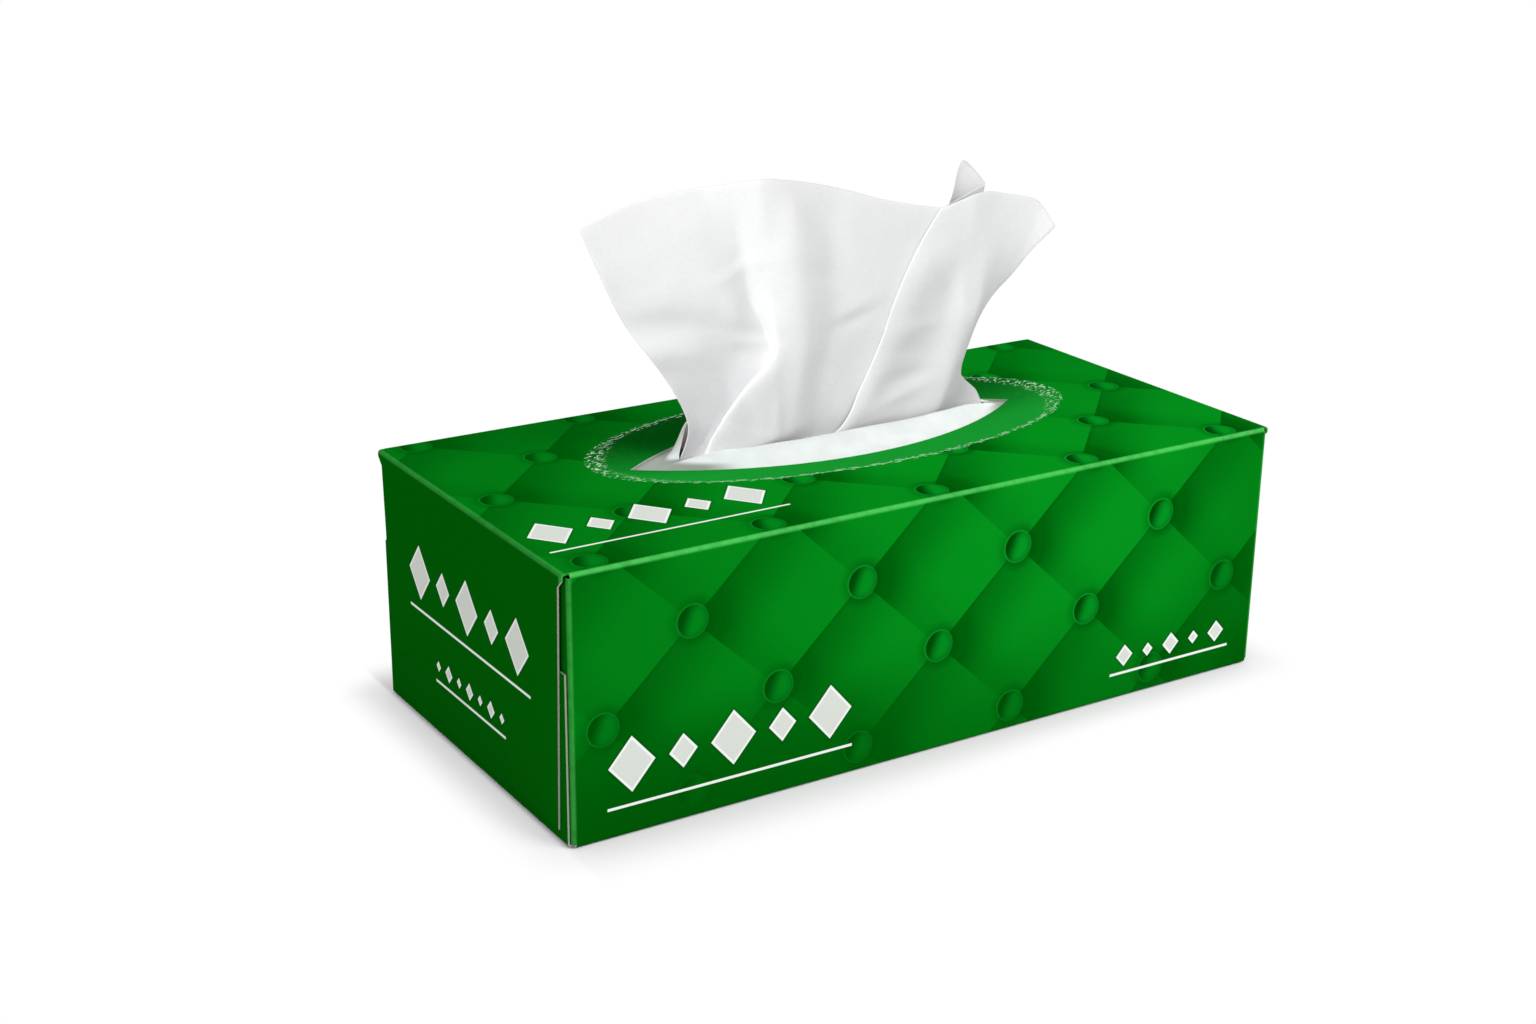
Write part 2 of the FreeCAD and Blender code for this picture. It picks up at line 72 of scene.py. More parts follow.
# The tissue's lower half: y of its hairpin, the height of that turn, and its half width.
TAIL_FRONT = -48.8
TAIL_TURN = 1.2
TAIL_HALF = 94.0

# Print. Its tufting starts from these buttons: across and up.
SIDE_BUTTON = (-77.5, 53.2)
LID_BUTTON = (-102.6, -49.5)
# The way along the oval crease is measured as on a circle of this radius.
CREASE_RADIUS = 56.0
# A row of lozenges: its middle, the step between lozenges, the half sizes of a large one, how many
# stand each way from the middle one, and the rule's drop below the row and its half length.
Row = namedtuple("Row", "across up step half_width half_height most drop rule")
SIDE_ROW = Row(-65.5, 19.0, 14.6, 6.6, 7.6, 2.0, 11.0, 36.0)
SIDE_ROW_SMALL = Row(80.5, 12.6, 8.6, 3.0, 3.3, 2.0, 5.2, 22.0)
LID_ROW = Row(-74.0, -28.0, 14.0, 6.3, 8.2, 2.0, 12.0, 34.0)
END_ROW = Row(0.0, 44.5, 14.6, 6.6, 7.8, 2.0, 11.0, 36.0)
END_ROW_SMALL = Row(0.0, 21.0, 6.4, 2.2, 2.5, 3.0, 4.6, 21.0)

# Stage, in metres. The camera is fitted to the carton's corners in the photograph.
CAMERA_PLACE = (-0.3316, -0.4893, 0.2628)
CAMERA_RIGHT = Vector((0.8461, -0.5329, 0.0095))
CAMERA_DOWN = Vector((-0.1731, -0.2916, -0.9407))
CAMERA_FORWARD = Vector((0.5041, 0.7943, -0.3390))
LAMP_AIM = Vector((0.0, 0.0, 0.06))
KEY_PLACE = (0.55, -0.95, 1.15)
KEY_SIZE = 0.7
SIDE_PLACE = (-1.1, -0.5, 0.8)
SIDE_SIZE = 0.3
FLOOR_HALF = 6.0
FLOOR_LEVEL = -0.0002


def srgb(red, green, blue):
    """A colour written as it looks on a screen, in linear light."""
    def linear(value):
        value /= 255.0
        return value / 12.92 if value <= 0.04045 else ((value + 0.055) / 1.055) ** 2.4
    return (linear(red), linear(green), linear(blue), 1.0)


def colour_property(name, description, default):
    return FloatVectorProperty(name=name, description=description, subtype="COLOR", size=4,
                               min=0.0, max=1.0, default=default)


# Settings


class CartonSettings(bpy.types.PropertyGroup):
    """Colours and spacing of the printed board."""
    light_green: colour_property(
        "Light green", "Raised part of a printed pillow", srgb(4, 140, 27))
    deep_green: colour_property("Deep green", "Shaded part of a printed pillow", srgb(0, 92, 10))
    # Painted shade: the plain green of the ends is painted darker than the sides, as the ends lie
    # in shade.
    end_green_and_shade: colour_property("End green", "Plain green of both ends", srgb(2, 92, 7))
    raw_board: colour_property("Raw board", "Unprinted board and cut edges", srgb(196, 196, 184))
    ornament_white: colour_property(
        "Ornament white", "Border of the lozenges", srgb(240, 243, 240))
    pitch: FloatProperty(
        name="Button pitch", description="Distance between buttons in a row, in mm", default=50.2)
    front_row: FloatProperty(
        name="Front row spacing", description="Distance between rows, in mm", default=23.2)
    top_row: FloatProperty(
        name="Top row spacing", description="Distance between rows, in mm", default=25.2)
    button_radius: FloatProperty(
        name="Button radius", description="Radius of a button, in mm", default=4.1)


class TissueSettings(bpy.types.PropertyGroup):
    """Fineness and finish of the raised tissue."""
    finer: IntProperty(
        name="Finer", description="Grid steps between two ribs", default=6, min=2)
    thickness: FloatProperty(
        name="Thickness", description="Thickness of the sheet", default=0.00025, unit="LENGTH")
    white: colour_property("White", "Colour of the tissue", srgb(240, 240, 241))


class FilmSettings(bpy.types.PropertyGroup):
    """Thickness and finish of the film round the slit."""
    thickness: FloatProperty(
        name="Thickness", description="Thickness of the film", default=0.0002, unit="LENGTH")
    white: colour_property("White", "Colour of the film", srgb(240, 242, 240))


class StackSettings(bpy.types.PropertyGroup):
    """The folded tissues inside."""
    layers: IntProperty(
        name="Layers", description="Folded sheets that show as layers", default=90, min=2)
    jitter: FloatProperty(
        name="Jitter", description="How unevenly the sheets lie", default=0.0006, unit="LENGTH")
    seed: IntProperty(name="Seed", description="Seed of the unevenness", default=7)


class StageSettings(bpy.types.PropertyGroup):
    """Light and camera."""
    world: FloatProperty(name="World", description="Strength of the even light", default=0.72)
    key: FloatProperty(
        name="Key lamp", description="Power of the key lamp", default=11.0, unit="POWER")
    side: FloatProperty(
        name="Side lamp", description="Power of the tissue's lamp", default=14.5, unit="POWER")
    lens: FloatProperty(name="Lens", description="Focal length", default=52.34, unit="CAMERA")


# Node helpers


class Graph:
    """Adds nodes to a tree and joins them."""

    def __init__(self, tree):
        self.tree = tree

    def node(self, kind, **settings):
        made = self.tree.nodes.new(kind)
        for name, value in settings.items():
            setattr(made, name, value)
        return made

    def put(self, socket, value):
        """Joins a socket to another, or sets it to a plain value."""
        if isinstance(value, bpy.types.NodeSocket):
            self.tree.links.new(value, socket)
        else:
            socket.default_value = value

    def feed(self, node, **values):
        """Puts values into a node's inputs of these names, with _ for a space."""
        for name, value in values.items():
            self.put(node.inputs[name.replace("_", " ")], value)
        return node.outputs

    def math(self, operation, *values, clamp=False):
        made = self.node("ShaderNodeMath", operation=operation, use_clamp=clamp)
        for socket, value in zip(made.inputs, values):
            self.put(socket, value)
        return made.outputs[0]

    def both(self, *masks):
        """Where all the masks are."""
        result = masks[0]
        for mask in masks[1:]:
            result = self.math("MULTIPLY", result, mask)
        return result

    def either(self, *masks):
        """Where any of the masks is."""
        result = masks[0]
        for mask in masks[1:]:
            result = self.math("MAXIMUM", result, mask)
        return result

    def length(self, *sides):
        """The length that two sides at a right angle span."""
        squares = [self.math("MULTIPLY", side, side) for side in sides]
        return self.math("SQRT", self.math("ADD", *squares))

    def scaled(self, vector, factor):
        made = self.node("ShaderNodeVectorMath", operation="SCALE")
        self.put(made.inputs[0], vector)
        self.feed(made, Scale=factor)
        return made.outputs[0]

    def split(self, vector):
        made = self.node("ShaderNodeSeparateXYZ")
        self.put(made.inputs[0], vector)
        return made.outputs

    def combine(self, *values):
        made = self.node("ShaderNodeCombineXYZ")
        for socket, value in zip(made.inputs, values):
            self.put(socket, value)
        return made.outputs[0]

    def coordinate(self, name):
        return self.node("ShaderNodeTexCoord").outputs[name]

    def millimetres(self):
        """The place on the piece, in millimetres."""
        return self.scaled(self.coordinate("Object"), 1.0 / MM)

    def ramp(self, value, low, high, start=0.0, stop=1.0):
        """Runs smoothly from start to stop while value goes from low to high."""
        made = self.node("ShaderNodeMapRange", interpolation_type="SMOOTHSTEP")
        for socket, given in zip(made.inputs, (value, low, high, start, stop)):
            self.put(socket, given)
        return made.outputs[0]

    def mix(self, factor, first, second):
        """A colour between two."""
        made = self.node("ShaderNodeMix", data_type="RGBA")
        for index, value in zip((0, 6, 7), (factor, first, second)):
            self.put(made.inputs[index], value)
        return made.outputs[2]

    def blend(self, factor, first, second):
        """A number between two."""
        made = self.node("ShaderNodeMix", data_type="FLOAT")
        for index, value in zip((0, 2, 3), (factor, first, second)):
            self.put(made.inputs[index], value)
        return made.outputs[0]

    def group(self, tree, **values):
        return self.feed(self.node("ShaderNodeGroup", node_tree=tree), **values)

    def noise(self, vector, scale, detail=2.0, roughness=0.5):
        made = self.node("ShaderNodeTexNoise")
        self.feed(made, Vector=vector, Scale=scale, Detail=detail, Roughness=roughness)
        return made.outputs["Fac"]

    def bump(self, shader, height, strength, distance):
        """Gives a shader the fine relief of a height."""
        made = self.node("ShaderNodeBump")
        self.feed(made, Strength=strength, Distance=distance, Height=height)
        self.feed(shader, Normal=made.outputs["Normal"])


def new_group(name, inputs, outputs):
    """A shader group with named sockets for numbers (f) and vectors (v), still empty."""
    kinds = {"v": "NodeSocketVector", "f": "NodeSocketFloat"}
    tree = bpy.data.node_groups.new(name, "ShaderNodeTree")
    for sockets, in_out in ((inputs, "INPUT"), (outputs, "OUTPUT")):
        for socket, kind in sockets:
            tree.interface.new_socket(name=socket, in_out=in_out, socket_type=kinds[kind])
    graph = Graph(tree)
    return graph, graph.node("NodeGroupInput").outputs, graph.node("NodeGroupOutput")


def new_material(name):
    made = bpy.data.materials.new(name)
    made.use_nodes = True
    made.node_tree.nodes.clear()
    graph = Graph(made.node_tree)
    shader = graph.node("ShaderNodeBsdfPrincipled")
    graph.feed(graph.node("ShaderNodeOutputMaterial"), Surface=shader.outputs["BSDF"])
    return made, graph, shader


# Shared effects


def tufting_group():
    """Printed diamond tufting: pillows between lines of buttons."""
    graph, given, result = new_group(
        "Printed Tufting",
        [("Across", "f"), ("Up", "f"), ("Pitch", "f"), ("Row", "f"), ("Start Across", "f"),
         ("Start Up", "f"), ("Radius", "f")],
        [("Shade", "f"), ("Button", "f"), ("Button Light", "f"), ("Rim", "f"), ("Hollow", "f")])
    m = graph.math
    a = m("DIVIDE", m("SUBTRACT", given["Across"], given["Start Across"]), given["Pitch"])
    b = m("DIVIDE", m("SUBTRACT", given["Up"], given["Start Up"]), m("MULTIPLY", given["Row"], 2.0))
    u = m("ADD", a, b)
    v = m("SUBTRACT", a, b)
    fu = m("FRACT", u)
    fv = m("FRACT", v)
    # Each pillow is shaded along its upper left side and its left corner.
    upper = graph.ramp(fv, 0.0, 0.62, 1.0, 0.0)
    upper = m("MULTIPLY", upper, m("SUBTRACT", 1.0, m("MULTIPLY", fu, 0.52)))
    lower = graph.ramp(fu, 0.0, 0.45, 0.5, 0.0)
    lower = m("MULTIPLY", lower, m("SUBTRACT", 1.0, m("MULTIPLY", fv, 0.55)))
    dip = graph.ramp(fv, 0.0, 0.05, 0.16, 0.0)
    shade = m("ADD", m("ADD", upper, lower), dip, clamp=True)
    # Millimetres from the nearest button, and that as a share of its radius.
    du = m("SUBTRACT", u, m("ROUND", u))
    dv = m("SUBTRACT", v, m("ROUND", v))
    dx = m("MULTIPLY", m("MULTIPLY", m("ADD", du, dv), 0.5), given["Pitch"])
    dy = m("MULTIPLY", m("SUBTRACT", du, dv), given["Row"])
    share = m("DIVIDE", graph.length(dx, dy), given["Radius"])
    slope = m("SUBTRACT", m("MULTIPLY", dx, 0.9), m("MULTIPLY", dy, 0.35))
    slope = m("DIVIDE", slope, given["Radius"])
    light = graph.both(graph.ramp(slope, -0.75, 0.25), graph.ramp(share, 0.55, 1.0, 1.0, 0.72))
    rim = graph.both(graph.ramp(share, 1.0, 1.05), graph.ramp(share, 1.07, 1.16, 1.0, 0.0))
    hollow = graph.both(graph.ramp(share, 1.05, 1.95, 1.0, 0.0),
                        graph.ramp(slope, -2.2, 1.2, 0.45, 1.0))
    graph.feed(result, Shade=shade, Button=graph.ramp(share, 0.97, 1.02, 1.0, 0.0),
               Button_Light=light, Rim=rim, Hollow=hollow)
    return graph.tree


def lozenge_group():
    """A row of lozenges with a white border, over a thin rule."""
    graph, given, result = new_group(
        "Lozenge Band",
        [("Across", "f"), ("Up", "f"), ("Step", "f"), ("Half Width", "f"), ("Half Height", "f"),
         ("Most", "f"), ("Rule Drop", "f"), ("Rule Half", "f")],
        [("Shape", "f"), ("Inside", "f"), ("Edge Shade", "f"), ("Rule", "f")])
    m = graph.math
    place = m("ROUND", m("DIVIDE", given["Across"], given["Step"]))
    place = m("MINIMUM", m("MAXIMUM", place, m("MULTIPLY", given["Most"], -1.0)), given["Most"])
    # Every second lozenge is smaller.
    odd = m("ABSOLUTE", m("MODULO", place, 2.0))
    size = m("SUBTRACT", 1.0, m("MULTIPLY", odd, 0.38))
    dx = m("ABSOLUTE", m("SUBTRACT", given["Across"], m("MULTIPLY", place, given["Step"])))
    dy = m("ABSOLUTE", given["Up"])
    wide = m("MULTIPLY", given["Half Width"], size)
    high = m("MULTIPLY", given["Half Height"], size)
    # Millimetres in from the lozenge's edge.
    share = m("ADD", m("DIVIDE", dx, wide), m("DIVIDE", dy, high))
    depth = m("MULTIPLY", m("SUBTRACT", 1.0, share),
              m("DIVIDE", m("MULTIPLY", wide, high), graph.length(wide, high)))
    drop = m("ABSOLUTE", m("ADD", given["Up"], given["Rule Drop"]))
    ends = graph.ramp(m("ABSOLUTE", given["Across"]), given["Rule Half"],
                      m("ADD", given["Rule Half"], 0.3), 1.0, 0.0)
    graph.feed(result, Shape=graph.ramp(depth, -0.08, 0.08), Inside=graph.ramp(depth, 0.5, 0.75),
               Edge_Shade=graph.ramp(depth, -0.75, -0.1),
               Rule=m("MULTIPLY", graph.ramp(drop, 0.3, 0.45, 1.0, 0.0), ends))
    return graph.tree


def fibre_group():
    """Fine uneven fibre, for the relief and the clouded colour of paper, board and film."""
    made = bpy.data.node_groups.get("Paper Fibre")
    if made:
        return made
    graph, given, result = new_group(
        "Paper Fibre", [("Position", "v"), ("Coarse", "f"), ("Fine", "f")],
        [("Height", "f"), ("Cloud", "f")])
    coarse = graph.noise(given["Position"], given["Coarse"], 3.0)
    fine = graph.noise(given["Position"], given["Fine"])
    height = graph.math("ADD", graph.math("MULTIPLY", coarse, 0.6),
                        graph.math("MULTIPLY", fine, 0.4))
    graph.feed(result, Height=height, Cloud=coarse)
    return graph.tree


def crazing_group():
    """Cracked print along an oval crease: crackle at its tips, thin scratches along its sides."""
    graph, given, result = new_group(
        "Creased Print", [("Along", "f"), ("Out", "f"), ("Side", "f")],
        [("Crack", "f"), ("Brushed", "f")])
    m = graph.math
    along, out, side = given["Along"], given["Out"], given["Side"]
    spot = graph.combine(along, m("MULTIPLY", out, 1.5))
    cells = graph.node("ShaderNodeTexVoronoi", feature="DISTANCE_TO_EDGE")
    line = graph.ramp(graph.feed(cells, Vector=spot, Scale=0.5)["Distance"], 0.05, 0.09, 1.0, 0.0)
    patch = graph.ramp(graph.noise(spot, 0.45, 3.0, 0.6), 0.49, 0.55)
    # The crackle is wide at the tips and narrow on the long sides.
    inner = graph.blend(side, -4.4, -1.5)
    crowd = m("MULTIPLY", graph.ramp(out, inner, m("MULTIPLY", inner, 0.5)),
              graph.ramp(out, 0.2, 0.9, 1.0, 0.0))
    cracks = graph.both(line, patch, crowd, graph.blend(side, 1.0, 0.55))
    # Two thin scratches run along the crease, broken and a little uneven.
    uneven = graph.noise(graph.combine(m("MULTIPLY", along, 0.12)), 1.0)
    wander = m("MULTIPLY", m("SUBTRACT", uneven, 0.5), 1.6)
    scratches = []
    for depth, shift, most in ((-0.7, 0.0, 0.46), (-1.8, 31.0, 0.50)):
        off = m("ABSOLUTE", m("SUBTRACT", m("SUBTRACT", out, depth), wander))
        gap = graph.combine(m("ADD", m("MULTIPLY", along, 0.5), shift))
        broken = graph.ramp(graph.noise(gap, 0.7, 3.0, 0.7), most, most + 0.04)
        scratches.append(m("MULTIPLY", graph.ramp(off, 0.12, 0.26, 1.0, 0.0), broken))
    scratch = m("MULTIPLY", graph.either(*scratches), side)
    # Faint strokes along the oval, further in.
    stretched = graph.combine(m("MULTIPLY", along, 0.09), m("MULTIPLY", out, 1.35))
    streak = graph.ramp(graph.noise(stretched, 2.2, 3.0, 0.65), 0.45, 0.7)
    graph.feed(result, Crack=m("MAXIMUM", cracks, scratch),
               Brushed=m("MULTIPLY", streak, graph.ramp(out, -12.0, -3.0, 0.3, 1.0)))
    return graph.tree


# Carton


class TISSUEBOX_OT_carton(bpy.types.Operator):
    """Print the folded board: tufting, plain ends, lozenges, painted shade and painted highlights
    along the folds
    """
    bl_idname = "tissuebox.carton"
    bl_label = "Printed carton"

    def execute(self, context):
        settings = context.scene.tissuebox_carton
        made, graph, shader = new_material("printed_board")
        m = graph.math
        position = graph.millimetres()
        x, y, z = graph.split(position)
        nx, ny, nz = graph.split(graph.coordinate("Normal"))

        def above(value, edge, soft=0.02):
            return graph.ramp(value, edge - soft, edge + soft)

        def below(value, edge, soft=0.02):
            return graph.ramp(value, edge - soft, edge + soft, 1.0, 0.0)

        # The printed faces: those that look outwards and lie on the outside.
        facing = 0.6
        half_x, half_y = CARTON_HALF
        top = m("MULTIPLY", above(nz, facing), above(z, 60.0))
        front = m("MULTIPLY", below(ny, -facing), below(y, 1.0 - half_y))
        back = m("MULTIPLY", above(ny, facing), above(y, half_y - 1.0))
        base = m("MULTIPLY", below(nz, -facing), below(z, 1.0))
        ends = m("MULTIPLY", above(m("ABSOLUTE", nx), facing),
                 above(m("ABSOLUTE", x), half_x - 1.9))
        printed = graph.either(top, front, back, base, ends)
        not_top = m("SUBTRACT", 1.0, top)

        # Tufting, with its own rows on the top and on the long sides.
        tufting = tufting_group()
        side = graph.group(
            tufting, Across=x, Up=z, Pitch=settings.pitch, Row=settings.front_row,
            Start_Across=SIDE_BUTTON[0], Start_Up=SIDE_BUTTON[1], Radius=settings.button_radius)
        lid = graph.group(
            tufting, Across=x, Up=y, Pitch=settings.pitch, Row=settings.top_row,
            Start_Across=LID_BUTTON[0], Start_Up=LID_BUTTON[1], Radius=settings.button_radius)
        tufts = {name: graph.blend(top, side[name], lid[name])
                 for name in ("Shade", "Button", "Button Light", "Rim", "Hollow")}

        # The tufting fades out behind the ornament, low on the left of the long sides.
        calm = graph.both(below(x, -22.0, 14.0), below(z, 24.0, 10.0), not_top)
        shade = graph.blend(calm, tufts["Shade"], 0.62)
        colour = graph.mix(shade, settings.light_green, settings.deep_green)
        colour = graph.mix(m("MULTIPLY", tufts["Hollow"], 0.62), colour, srgb(0, 74, 6))
        button = graph.mix(tufts["Button Light"], srgb(0, 66, 6), srgb(4, 142, 32))
        colour = graph.mix(tufts["Button"], colour, button)
        colour = graph.mix(m("MULTIPLY", tufts["Rim"], 0.55), colour, srgb(22, 160, 52))

        # Painted shade: the long sides are darker towards the base and both ends, and the top
        # darker towards the left and the back.
        low = m("MULTIPLY", graph.ramp(z, 0.0, 42.0, 0.55, 0.0), not_top)
        left = graph.ramp(x, -112.0, 40.0, 0.42, 0.0)
        right = m("MULTIPLY", graph.ramp(x, 66.0, 112.0, 0.0, 0.4), not_top)
        painted_shade = m("ADD", low, m("ADD", left, right), clamp=True)
        colour = graph.mix(painted_shade, colour, srgb(0, 84, 6))
        backward = m("ADD", y, m("MULTIPLY", x, 0.25))
        painted_far_shade = m("MULTIPLY", graph.ramp(backward, -30.0, 70.0, 0.0, 0.42), top)
        colour = graph.mix(painted_far_shade, colour, srgb(0, 104, 18))
        # The ends take their plain printed green, painted darker as shade.
        colour = graph.mix(ends, colour, settings.end_green_and_shade)

        # The dished band round the opening. "out" is the distance outwards from its crease, and
        # "along" the distance along it.
        middle_x, middle_y, long, wide = RIM
        off_x = m("SUBTRACT", x, middle_x)
        off_y = m("SUBTRACT", y, middle_y)
        share_x = m("DIVIDE", off_x, long)
        share_y = m("DIVIDE", off_y, wide)
        ring = m("MAXIMUM", graph.length(share_x, share_y), 0.05)
        out = m("MULTIPLY", graph.length(off_x, off_y),
                m("SUBTRACT", 1.0, m("DIVIDE", 1.0, ring)))
        out = m("MULTIPLY", out, graph.ramp(m("ABSOLUTE", share_y), 0.1, 0.9, 0.72, 1.0))
        along = m("MULTIPLY", m("ARCTAN2", share_y, share_x), CREASE_RADIUS)
        band = m("MULTIPLY", below(out, -0.2, 0.3), top)
        # Painted light and shade: the near side of the band is painted light green, the far side
        # dark green as shade.
        band_painted_light = graph.ramp(share_y, -0.5, 0.6, 1.0, 0.0)
        band_colour = graph.mix(band_painted_light, srgb(0, 80, 12), srgb(22, 148, 46))
        crazed = graph.group(crazing_group(), Along=along, Out=out,
                             Side=graph.ramp(m("ABSOLUTE", share_y), 0.35, 0.8))
        brushed = m("MULTIPLY", crazed["Brushed"], 0.16)
        band_colour = graph.mix(brushed, band_colour, srgb(60, 160, 80))
        colour = graph.mix(band, colour, band_colour)
        crack = m("MULTIPLY", crazed["Crack"], top)
        colour = graph.mix(m("MULTIPLY", crack, 0.9), colour, srgb(206, 238, 208))

        # Lozenges: long sides, top and ends.
        lozenges = lozenge_group()
        white = settings.ornament_white

        def ornament(colour, where, across, up, row):
            shape = graph.group(
                lozenges, Across=m("SUBTRACT", across, row.across), Up=m("SUBTRACT", up, row.up),
                Step=row.step, Half_Width=row.half_width, Half_Height=row.half_height,
                Most=row.most, Rule_Drop=row.drop, Rule_Half=row.rule)
            colour = graph.mix(graph.both(shape["Edge Shade"], where, 0.55), colour, srgb(0, 62, 4))
            inside = graph.mix(shape["Inside"], white, srgb(214, 219, 211))
            colour = graph.mix(m("MULTIPLY", shape["Shape"], where), colour, inside)
            return graph.mix(m("MULTIPLY", shape["Rule"], where), colour, white)

        sides = m("MAXIMUM", front, back)
        side_x = m("MULTIPLY", x, graph.blend(back, 1.0, -1.0))
        end_y = m("MULTIPLY", y, graph.blend(above(nx, 0.0), 1.0, -1.0))
        end_front = m("MULTIPLY", ends, above(m("ABSOLUTE", x), half_x - 0.55))
        lid_front = m("MULTIPLY", top, below(y, -12.0))
        for where, across, up, row in (
                (sides, side_x, z, SIDE_ROW), (sides, side_x, z, SIDE_ROW_SMALL),
                (lid_front, x, y, LID_ROW),
                (end_front, end_y, z, END_ROW), (end_front, end_y, z, END_ROW_SMALL)):
            colour = ornament(colour, where, across, up, row)

        # Painted highlight: a lighter line along each folded edge, patchy along its length.
        def fold(first, second):
            return graph.ramp(m("ADD", first, second), 0.45, 1.35, 1.0, 0.0)

        from_top = m("SUBTRACT", CARTON_TOP, z)
        from_front = m("ADD", y, half_y)
        from_back = m("SUBTRACT", half_y, y)
        from_end = m("MINIMUM", m("ADD", x, half_x), m("SUBTRACT", half_x, x))
        painted_fold_highlight = graph.either(
            fold(from_top, from_front),
            m("MULTIPLY", fold(from_top, from_back), 0.35),
            m("MULTIPLY", fold(from_top, from_end), 0.4),
            m("MULTIPLY", fold(m("SUBTRACT", from_end, 1.2), from_front), 0.5))
        patchy = graph.ramp(graph.noise(position, 0.35, 3.0), 0.3, 0.6, 0.75, 1.0)
        colour = graph.mix(graph.both(painted_fold_highlight, patchy, 0.8), colour, srgb(84, 205, 96))

        fibre = graph.group(fibre_group(), Position=position, Coarse=0.6, Fine=3.5)
        bare = graph.mix(fibre["Cloud"], settings.raw_board, srgb(170, 168, 154))
        colour = graph.mix(printed, bare, colour)
        # The light it throws on white things is neutral, as in a studio picture.
        bounced = graph.node("ShaderNodeLightPath").outputs["Is Diffuse Ray"]
        colour = graph.mix(m("MULTIPLY", bounced, 0.85), colour, srgb(120, 124, 120))
        rough = graph.blend(printed, 0.85, graph.ramp(fibre["Cloud"], 0.3, 0.7, 0.46, 0.54))
        graph.feed(shader, Base_Color=colour, Roughness=rough, Specular_IOR_Level=0.0)
        graph.bump(shader, m("ADD", fibre["Height"], m("MULTIPLY", crack, 2.5)), 0.12, 0.0002)

        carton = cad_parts["carton"]
        carton.data.materials.clear()
        carton.data.materials.append(made)
        return {"FINISHED"}


# Film

# The lip from the cut edge in to the slit: share of the way and level above the base.
LIP = ((0.18, 69.5), (0.38, 70.35), (0.58, 71.35), (0.76, 72.15), (0.9, 72.55), (0.98, 72.5),
       (1.02, 72.2), (1.0, 71.85), (0.95, 71.7))
# At the left the lip starts at this x and is whole after this run.
LIP_START = -52.0
LIP_RUN = 18.0
# A corner of the far lip stands up beside the tissue: its x, its reach and its rise.
LIP_CORNER = (-39.0, 3.4, 9.0)
FILM_STEPS = 192


def new_piece(name, points, faces, material, smooth=True):
    """A mesh object at the origin, with its place in its mesh."""
    mesh = bpy.data.meshes.new(name)
    mesh.from_pydata([tuple(point) for point in points], [], faces)
    mesh.materials.append(material)
    piece = bpy.data.objects.new(name, mesh)
    bpy.context.scene.collection.objects.link(piece)
    for polygon in mesh.polygons:
        polygon.use_smooth = smooth
    return piece


def outward(piece):
    """Turns the faces of a piece the same way, outwards."""
    work = bmesh.new()
    work.from_mesh(piece.data)
    bmesh.ops.remove_doubles(work, verts=work.verts, dist=1e-6)
    bmesh.ops.recalc_face_normals(work, faces=work.faces)
    work.to_mesh(piece.data)
    work.free()


def apply_modifiers(piece):
    """Turns the piece into the mesh that its modifiers give."""
    depsgraph = bpy.context.evaluated_depsgraph_get()
    mesh = bpy.data.meshes.new_from_object(piece.evaluated_get(depsgraph))
    piece.modifiers.clear()
    old = piece.data
    piece.data = mesh
    bpy.data.meshes.remove(old)
    mesh.name = piece.name


def thicken(piece, thickness):
    """Gives a sheet its thickness, half to each side, and smooths it."""
    solidify = piece.modifiers.new("Thickness", "SOLIDIFY")
    solidify.thickness = thickness
    solidify.offset = 0.0
    subdivide = piece.modifiers.new("Smooth", "SUBSURF")
    subdivide.levels = 1
    subdivide.render_levels = 1
    apply_modifiers(piece)


def oval(place, turn):
    """A point of an ellipse: centre and half sizes."""
    x, y, long, wide = place
    return Vector((x + long * math.cos(turn), y + wide * math.sin(turn)))


def pointed(place, turn):
    """A point of the outline made by two equal arcs that meet in two points."""
    x, y, long, wide = place
    radius = (long * long + wide * wide) / (2.0 * wide)
    across = long * math.cos(turn)
    rise = math.sqrt(radius * radius - across * across) - radius + wide
    return Vector((x + across, y + math.copysign(rise, math.sin(turn))))


